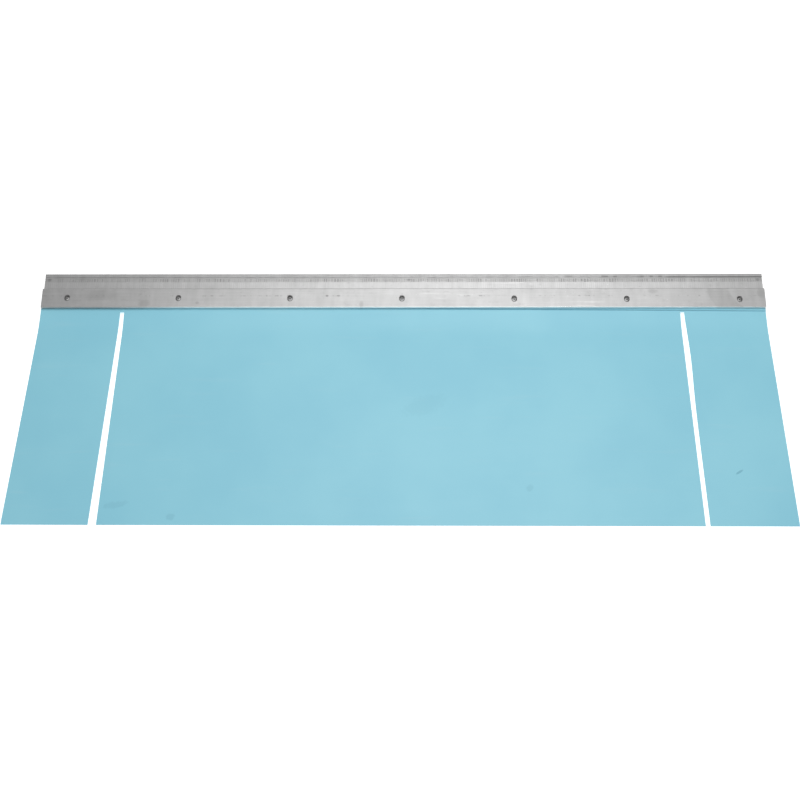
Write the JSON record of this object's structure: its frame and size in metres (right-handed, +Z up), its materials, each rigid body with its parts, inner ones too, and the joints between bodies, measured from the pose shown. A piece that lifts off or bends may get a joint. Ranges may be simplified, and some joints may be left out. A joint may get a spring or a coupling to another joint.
{
  "type": "squeegee applicator",
  "caption": "Wide hand applicator: a flexible plastic sheet with side flaps, clamped by screws in a flat aluminium rail with a squeegee blade under its rear edge.",
  "frame": {"origin": "on the work surface under the middle panel, at mid-length of the rail and half way between the rail's rear edge and the sheet's free edge", "axes": "+X along the rail, +Y from the sheet's free edge towards the rail, +Z up from the work surface"},
  "size_m": [1.3, 0.4761, 0.0174],
  "materials": {
    "rail_aluminium": "mill finish, dulled and scuffed",
    "clamp_aluminium": "mill finish, lightly scratched along its length",
    "screw_steel": "plain steel, darkened",
    "dark_steel": "plain steel, darkened",
    "blade_rubber": "matt",
    "blue_sheet": "satin, light blue, faint smudges"
  },
  "bodies": {
    "rail": {"back_rail": "rail_aluminium", "squeegee_blade": "blade_rubber", "blade_pins": "dark_steel", "packing_strip": "blue_sheet", "clamp_bar": "clamp_aluminium", "clamp_screws": "screw_steel", "sheet_root": "blue_sheet"},
    "left_flap": {"left_flap": "blue_sheet"},
    "centre_panel": {"centre_panel": "blue_sheet"},
    "right_flap": {"right_flap": "blue_sheet"}
  },
  "joints": [
    {"name": "left_flap_bend", "type": "hinge", "parent": "rail", "child": "left_flap", "pos_m": [-0.575, 0.16248, 0.00453], "axis": [-1, 0, 0], "range_deg": [0, 70], "stiffness_Nm_per_rad": 0.27},
    {"name": "centre_panel_bend", "type": "hinge", "parent": "rail", "child": "centre_panel", "pos_m": [0, 0.16248, 0.00453], "axis": [-1, 0, 0], "range_deg": [0, 70], "stiffness_Nm_per_rad": 1.86},
    {"name": "right_flap_bend", "type": "hinge", "parent": "rail", "child": "right_flap", "pos_m": [0.574, 0.16248, 0.00453], "axis": [-1, 0, 0], "range_deg": [0, 70], "stiffness_Nm_per_rad": 0.27}
  ]
}
